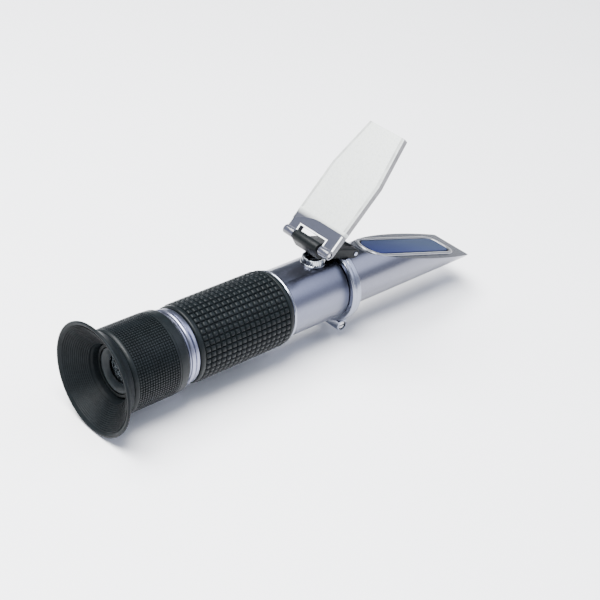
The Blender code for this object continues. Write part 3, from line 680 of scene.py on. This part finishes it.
def clamp_screw():
    """Slotted screw across the ears, with its rounded head on the near side."""
    seat, end = EAR_SEAT + GAP, EAR_HALF - GAP
    head_r, shank_r, ease = 1.5, 0.9, 0.3
    profile = [(-end, 0.0)] + arc((ease - end, head_r - ease), ease, 180, 90, 5)
    profile += [(-seat, head_r), (-seat, shank_r), (end, shank_r), (end, 0.0)]
    item = raw_object("clamp_screw_turned",
                      turned(profile, SCREW_ROUND, ACROSS, (EAR_X, 0, EAR_Z), False))
    slot_reach, slot_half, slot_depth = 3, 0.25, 0.6
    carve(item, block((EAR_X - slot_reach, -end - 1, EAR_Z - slot_half),
                      (EAR_X + slot_reach, slot_depth - end, EAR_Z + slot_half)))
    settle(item, "steel", "barrel", ["clamp_screw"])


# --- prism end ---------------------------------------------------------------------------------

def slope_z(x):
    """Height of the sample slope's plane."""
    return NOSE_EDGE_Z + (LENGTH - x) * math.tan(SLOPE)


def window_outline(inset):
    """Window in the slope's plane: a round rear end and eased front corners, in millimetres
    along the slope from the nose edge and across it."""
    to_slope = 1.0 / math.cos(SLOPE)
    rear = (LENGTH - WINDOW_REAR) * to_slope - inset
    front = (LENGTH - WINDOW_FRONT) * to_slope + inset
    half = WINDOW_HALF - inset
    bulge = WINDOW_BULGE - inset
    corner = WINDOW_CORNER - inset
    steps = 20
    points = []
    for i in range(steps + 1):
        a = math.radians(90.0 * i / steps)
        points.append((rear - bulge + bulge * math.sin(a), half * math.cos(a)))
    for i in range(1, steps + 1):
        a = math.radians(90.0 * i / steps)
        points.append((rear - bulge + bulge * math.cos(a), -half * math.sin(a)))
    points += [(front + corner + x, -half + corner + y) for x, y in arc((0, 0), corner, 270, 180, 8)]
    points += [(front + corner + x, half - corner + y) for x, y in arc((0, 0), corner, 180, 90, 8)]
    return points


def on_slope(outline, height):
    """Outline points lifted above the slope's plane."""
    back = Vector((-math.cos(SLOPE), 0, math.sin(SLOPE)))
    out = Vector((math.sin(SLOPE), 0, math.cos(SLOPE)))
    base = Vector((LENGTH, 0, NOSE_EDGE_Z)) + out * height
    return [base + back * u + Vector((0, v, 0)) for u, v in outline]


def slope_solid(outline, depth, height=0.0):
    """Solid from a height above the slope down to a depth below it."""
    out = Vector((math.sin(SLOPE), 0, math.cos(SLOPE)))
    return extruded(on_slope(outline, height), -out * (depth + height))


def prism_limit(grow):
    """Block that the prism's glass fills under the window, grown for the pocket round it."""
    rear, front = WINDOW_REAR - grow, WINDOW_FRONT + 2
    floor_z, top_z, half = -6.6 - grow, 14, 8
    return block((rear, -half, floor_z), (front, half, top_z))


def prism_housing():
    """Turned housing cut by the slope, with the prism's pocket and a fine softened rim."""
    spigot, spigot_r, shoulder = 99.2, 10.5, 104.1
    bore_r, bore_end = 8.2, 128.0
    profile = [(spigot, bore_r), (spigot, spigot_r), (shoulder, spigot_r), (shoulder, HOUSING_R),
               (LENGTH - 0.35, HOUSING_R), (LENGTH - 0.1, HOUSING_R - 0.1), (LENGTH, HOUSING_R - 0.35),
               (LENGTH, 0.0), (bore_end, 0.0), (bore_end, bore_r)]
    housing = raw_object("prism_housing_cast", turned(profile, HOUSING_ROUND))
    cut_rear, cut_front, cut_top, cut_half = 90.0, LENGTH + 5, 50, 15
    corners = [(cut_rear, slope_z(cut_rear)), (cut_front, slope_z(cut_front)), (cut_front, cut_top),
               (cut_rear, cut_top)]
    carve(housing, side_solid(corners, -cut_half, cut_half))
    flat_half, flat_depth, flat_front, flat_top = 7.0, 0.4, 118.0, 14.0
    carve(housing, block((BAND_FRONT, -flat_half, HOUSING_R - flat_depth),
                         (flat_front, flat_half, flat_top)))
    pocket = raw_object("pocket", slope_solid(window_outline(0.0), GLASS_DEPTH, 3.0))
    carve(pocket, prism_limit(SEAL_STEP), "INTERSECT")
    bm = bmesh.new()
    absorb(bm, pocket)
    carve(housing, bm)
    settle(housing, "housing", "barrel", ["prism_housing"], sharp=25)


def window_rim():
    """Lip that stands round the window, with rounded shoulders and a wall down to the seal."""
    wall = 0.7
    rings = [(-LIP_WIDTH, -0.1), (-LIP_WIDTH + 0.08, PROUD - 0.15), (-LIP_WIDTH + 0.2, PROUD - 0.04),
             (-LIP_WIDTH + 0.4, PROUD), (-0.2, PROUD), (-0.08, PROUD - 0.04), (0.0, PROUD - 0.15),
             (0.0, -wall), (-LIP_WIDTH, -wall)]
    bm = bmesh.new()
    loops = []
    for inset, height in rings:
        loops.append([bm.verts.new(p) for p in on_slope(window_outline(inset), height)])
    count = len(loops[0])
    for a, b in zip(loops, loops[1:] + loops[:1]):
        for i in range(count):
            j = (i + 1) % count
            bm.faces.new((a[i], a[j], b[j], b[i]))
    bmesh.ops.recalc_face_normals(bm, faces=bm.faces)
    settle(raw_object("window_rim", bm), "lip", "barrel", sharp=40)


def prism_parts():
    """Glass that stands level with the lip, and the thin seal sunk round it."""
    inset = 2 * SEAL_STEP + SEAL_WIDTH
    glass = raw_object("prism_polished", slope_solid(window_outline(inset), GLASS_DEPTH, PROUD))
    carve(glass, prism_limit(0.0), "INTERSECT")
    soften(glass, 0.18, 2)
    settle(glass, "prism", "barrel", ["prism"])
    seal = raw_object("prism_seal_fine", slope_solid(window_outline(SEAL_STEP), 2.0, -0.12))
    carve(seal, slope_solid(window_outline(SEAL_STEP + SEAL_WIDTH), 6.0, 3.0))
    settle(seal, "seal", "barrel", ["prism_seal"])


# --- double hinge and daylight plate -----------------------------------------------------------

def cross_bore(radius, pivot, reach=9):
    """Cutter for a pin's bore across the instrument."""
    return cylinder(-reach, reach, radius, BORE_ROUND, ACROSS, pivot)


def cross_pin(name, half, radius, ease, pivot):
    """Pin with rounded ends across the instrument."""
    return raw_object(name, turned(rod(-half, half, radius, ease), PIN_ROUND, ACROSS, pivot, False))


def hinge_lug():
    """Round-topped lug that stands on the housing between the link's arms."""
    x, z = LINK_PIVOT.x, LINK_PIVOT.z
    lug_r, lug_half, foot_z = 2.0, 2.5, HOUSING_R - 0.1
    outline = arc((x, z), lug_r, 0, 180, 24) + [(x - lug_r, foot_z), (x + lug_r, foot_z)]
    lug = raw_object("hinge_lug_rounded", side_solid(outline, -lug_half, lug_half))
    carve(lug, cross_bore(1.15, (x, 0, z)))
    settle(lug, "black", "barrel", ["hinge_lug"])


def hinge_link():
    """Black forked bar with a round front end and a raised knuckle."""
    reach = PLATE_PIVOT - LINK_PIVOT
    along = -reach.x * math.cos(LINK_TILT) + reach.z * math.sin(LINK_TILT)
    above = reach.x * math.sin(LINK_TILT) + reach.z * math.cos(LINK_TILT)
    start = math.degrees(math.asin((above - LINK_HALF) / KNUCKLE_R))
    outline = [link_point(s, n) for s, n in arc((0, 0), LINK_HALF, 90, 270, 24)]
    outline.append(link_point(along - 1.2, -LINK_HALF))
    outline += [link_point(s, n) for s, n in arc((along, above), KNUCKLE_R, -50, 180 + start, 30)]
    half = LINK_WIDTH / 2
    link = raw_object("hinge_link_rounded", side_solid(outline, -half, half))
    soften(link, 0.28, 3, 50)
    fork_end, fork_half, clear = 3.0, 2.8, 4
    fork = [link_point(-clear, -clear), link_point(fork_end, -clear), link_point(fork_end, clear),
            link_point(-clear, clear)]
    carve(link, side_solid(fork, -fork_half, fork_half))
    for pivot, radius in ((LINK_PIVOT, 1.1), (PLATE_PIVOT, 1.05)):
        carve(link, cross_bore(radius, pivot))
    settle(link, "black", "link", ["hinge_link"])


def link_pin():
    item = cross_pin("link_pin_turned", half=6.35, radius=0.9, ease=0.3, pivot=LINK_PIVOT)
    settle(item, "chrome", "link", ["link_pin"], sharp=50)


def plate_to_frame():
    """From the plate's own axes (along, across, up from its pivot) to the instrument."""
    return Matrix.Translation(PLATE_PIVOT) @ Matrix.Rotation(-PLATE_TILT, 4, "Y")


def plate_side(inset=0.0):
    """Half outline of the plate beyond its notch: (along, across)."""
    return [(PLATE_BEND, PLATE_BEND_HALF - inset), (PLATE_LENGTH - inset, PLATE_TIP_HALF - inset)]


def tilt_plate(bm):
    """Carry a shape from the plate's own axes to its place on the instrument."""
    bmesh.ops.transform(bm, matrix=plate_to_frame(), verts=bm.verts)


def daylight_plate():
    """Clear plate with eased edges, a notch for the knuckle and two round eyes for its pin."""
    side = [(NOTCH_END, NOTCH_HALF), (0.0, NOTCH_HALF)]
    side += [(0.0, PLATE_REAR_HALF - 0.1)] + plate_side()
    outline = side + [(t, -w) for t, w in reversed(side)]
    bm = extruded([(t, w, -PLATE_UNDER) for t, w in outline], (0, 0, PLATE_UNDER + PLATE_OVER))
    tilt_plate(bm)
    plate = raw_object("daylight_plate_moulded", bm)
    soften(plate, EASE, 3)
    for side_y in (-1, 1):
        ends = sorted((side_y * (NOTCH_HALF + 0.05), side_y * (PLATE_REAR_HALF - 0.15)))
        eye = rod(*ends, PLATE_EYE_R, EASE)
        carve(plate, turned(eye, SCREW_ROUND, ACROSS, PLATE_PIVOT, False), "UNION")
    carve(plate, cross_bore(1.0, PLATE_PIVOT, 15))
    settle(plate, "clear", "plate", ["daylight_plate"])


def plate_frosting():
    """Ground surface as a thin shell round the plate, with a bowed edge near the hinge."""
    steps = 16
    edge = []
    for i in range(steps + 1):
        across = 1 - 2 * i / steps
        start = FROST_START - FROST_BOW * max(across, 0) ** 2
        edge.append((start, (PLATE_REAR_HALF + FROST_SKIN) * across))
    side = plate_side(-FROST_SKIN)
    window = edge + [(t, -w) for t, w in side] + side[::-1]
    thick = PLATE_UNDER + PLATE_OVER + 2 * FROST_SKIN
    bm = extruded([(t, w, -PLATE_UNDER - FROST_SKIN) for t, w in window], (0, 0, thick))
    tilt_plate(bm)
    frosting = raw_object("daylight_plate_frosting", bm)
    soften(frosting, EASE, 3)
    settle(frosting, "frosted", "plate")


def plate_edge_highlights():
    """Pale strips painted where the notch's polished edges and the ears' outer edges catch the light:
    painted highlights.
    """
    width, top, low = 0.5, PLATE_OVER + FROST_SKIN, PLATE_OVER - 0.35
    ear_start, inset, overlap = 1.6, 0.05, 0.01
    strips = [(NOTCH_END, NOTCH_END + width, -NOTCH_HALF - width, NOTCH_HALF + width)]
    for side_y in (-1, 1):
        inner = sorted((side_y * NOTCH_HALF, side_y * (NOTCH_HALF + width)))
        outer = sorted((side_y * (PLATE_REAR_HALF - width - inset), side_y * (PLATE_REAR_HALF - inset)))
        strips.append((ear_start, NOTCH_END + overlap, *inner))
        strips.append((ear_start, FROST_START - 0.3, *outer))
    bm = bmesh.new()
    for rear, front, near, far in strips:
        absorb(bm, raw_object("strip", block((rear, near, low), (front, far, top))))
    tilt_plate(bm)
    settle(raw_object("daylight_plate_edge_highlights", bm), "edge", "plate")


def plate_rails():
    """Greyer sides of the plate, and the smooth rims along its frosted window."""
    line = [(FROST_START + 1.5, PLATE_REAR_HALF)] + plate_side()
    middle, width, stand_off = 0.3, 0.9, 0.07
    for name, finish, inner, outer, low, high in (
            ("sides", "rail", middle, -stand_off, -PLATE_UNDER + middle, PLATE_OVER - middle),
            ("rims", "rim", width + middle, middle, PLATE_OVER - middle, PLATE_OVER + stand_off)):
        bm = bmesh.new()
        for side_y in (-1, 1):
            outline = [(t, side_y * (w - outer)) for t, w in line]
            outline += [(t, side_y * (w - inner)) for t, w in reversed(line)]
            absorb(bm, raw_object("rail", extruded([(t, w, low) for t, w in outline], (0, 0, high - low))))
        tilt_plate(bm)
        settle(raw_object("daylight_plate_" + name, bm), finish, "plate")


def plate_pin():
    item = cross_pin("plate_pin_turned", half=11.3, radius=0.8, ease=0.2, pivot=PLATE_PIVOT)
    settle(item, "steel", "plate", ["plate_pin"], sharp=50)


# --- CAD pieces that keep their shape ----------------------------------------------------------

def dress_kept_nodes():
    """Give the plain pieces inside the tube their materials."""
    finishes = {
        "black": ["lens_spacer", "reticle_holder", "reticle_lock_ring", "light_baffle", "strip_foot_ring",
                  "objective_carrier", "objective_lock_ring"],
        "lens": ["field_lens", "reticle_disc", "objective_lens"],
        "brass": ["bimetal_strip"],
        "seal": ["calibration_seal"],
        "steel": ["clamp_nut"],
    }
    for finish, names in finishes.items():
        for name in names:
            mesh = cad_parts[name].data
            mesh.materials.clear()
            mesh.materials.append(FINISHES[finish].mat)


# --- floor, light and camera -------------------------------------------------------------------

def floor():
    """Pale floor just under the object."""
    segments, size, drop = 8, 1.6, 0.0005
    bm = bmesh.new()
    bmesh.ops.create_grid(bm, x_segments=segments, y_segments=segments, size=size)
    item = raw_object("floor", bm)
    finish = Finish("floor_finish", (0.86, 0.86, 0.87), 0.6)
    finish.mottle(6, dark=0.99, light=1.01)
    item.data.materials.append(finish.mat)
    item.location.z = -drop


def softbox(name, place, width, height, power):
    """Rectangular area light that faces the object."""
    aim = Vector((0, 0, 0.02))
    light = bpy.data.lights.new(name, "AREA")
    light.shape = "RECTANGLE"
    light.size, light.size_y = width, height
    light.energy = power
    item = bpy.data.objects.new(name, light)
    item.location = place
    item.rotation_euler = (aim - Vector(place)).to_track_quat("-Z", "Y").to_euler()
    bpy.context.scene.collection.objects.link(item)


def light_scene():
    """Overhead softboxes in a dim room that is paler on the near side, with a bright patch above."""
    world = bpy.data.worlds.new("studio")
    bpy.context.scene.world = world
    world.use_nodes = True
    nodes, links = world.node_tree.nodes, world.node_tree.links
    coords = nodes.new("ShaderNodeTexCoord").outputs["Generated"]
    colour = (0.22, 0.25, 0.29, 1)
    glows = (((0.45, -0.85, 0.1), 0.35, 0.85, (0.75, 0.80, 1.0, 1)),
             ((0.60, -0.40, 0.69), 0.86, 0.985, (3.2, 3.4, 4.1, 1)))
    for direction, edge, full, light in glows:
        dot = nodes.new("ShaderNodeVectorMath")
        dot.operation = "DOT_PRODUCT"
        dot.inputs[1].default_value = Vector(direction).normalized()
        links.new(coords, dot.inputs[0])
        fade = nodes.new("ShaderNodeMapRange")
        fade.interpolation_type = "SMOOTHSTEP"
        fade.inputs["From Min"].default_value = edge
        fade.inputs["From Max"].default_value = full
        links.new(dot.outputs["Value"], fade.inputs["Value"])
        mix = nodes.new("ShaderNodeMix")
        mix.data_type = "RGBA"
        links.new(fade.outputs["Result"], mix.inputs["Factor"])
        if isinstance(colour, tuple):
            mix.inputs["A"].default_value = colour
        else:
            links.new(colour, mix.inputs["A"])
        mix.inputs["B"].default_value = light
        colour = mix.outputs["Result"]
    links.new(colour, nodes["Background"].inputs["Color"])
    softbox("key", (-0.35, -0.12, 0.95), width=0.6, height=0.45, power=36.0)
    softbox("top", (-0.2, 0.4, 0.9), width=0.7, height=0.45, power=24.0)


def camera():
    """The camera stands to the rear right of the eyecup, above the object, slightly rolled."""
    target = TO_FRAME @ Vector((74.24, -17.02, 12.97))
    azimuth, elevation, roll = (math.radians(a) for a in (-135.25, 32.667, 5.982))
    distance, lens = 0.5093, 89.42
    away = Vector((math.cos(elevation) * math.cos(azimuth), math.cos(elevation) * math.sin(azimuth),
                   math.sin(elevation)))
    side = (-away).cross(Vector((0, 0, 1))).normalized()
    up = side.cross(-away)
    right = side * math.cos(roll) + up * math.sin(roll)
    top = up * math.cos(roll) - side * math.sin(roll)
    data = bpy.data.cameras.new("camera")
    data.lens = lens
    data.sensor_width = 36.0
    data.clip_start = 0.01
    item = bpy.data.objects.new("camera", data)
    bpy.context.scene.collection.objects.link(item)
    facing = Matrix((right, top, away)).transposed().to_4x4()
    item.matrix_world = Matrix.Translation(target + away * distance) @ facing
    bpy.context.scene.camera = item


FINISHES = make_finishes()
camera()
eyecup()
focus_ring()
eyepiece()
barrel_tube()
rear_collar()
rubber_grip()
trim_ring()
calibration()
clamp_band()
clamp_screw()
prism_housing()
window_rim()
prism_parts()
hinge_lug()
hinge_link()
link_pin()
daylight_plate()
plate_frosting()
plate_edge_highlights()
plate_rails()
plate_pin()
dress_kept_nodes()
floor()
light_scene()
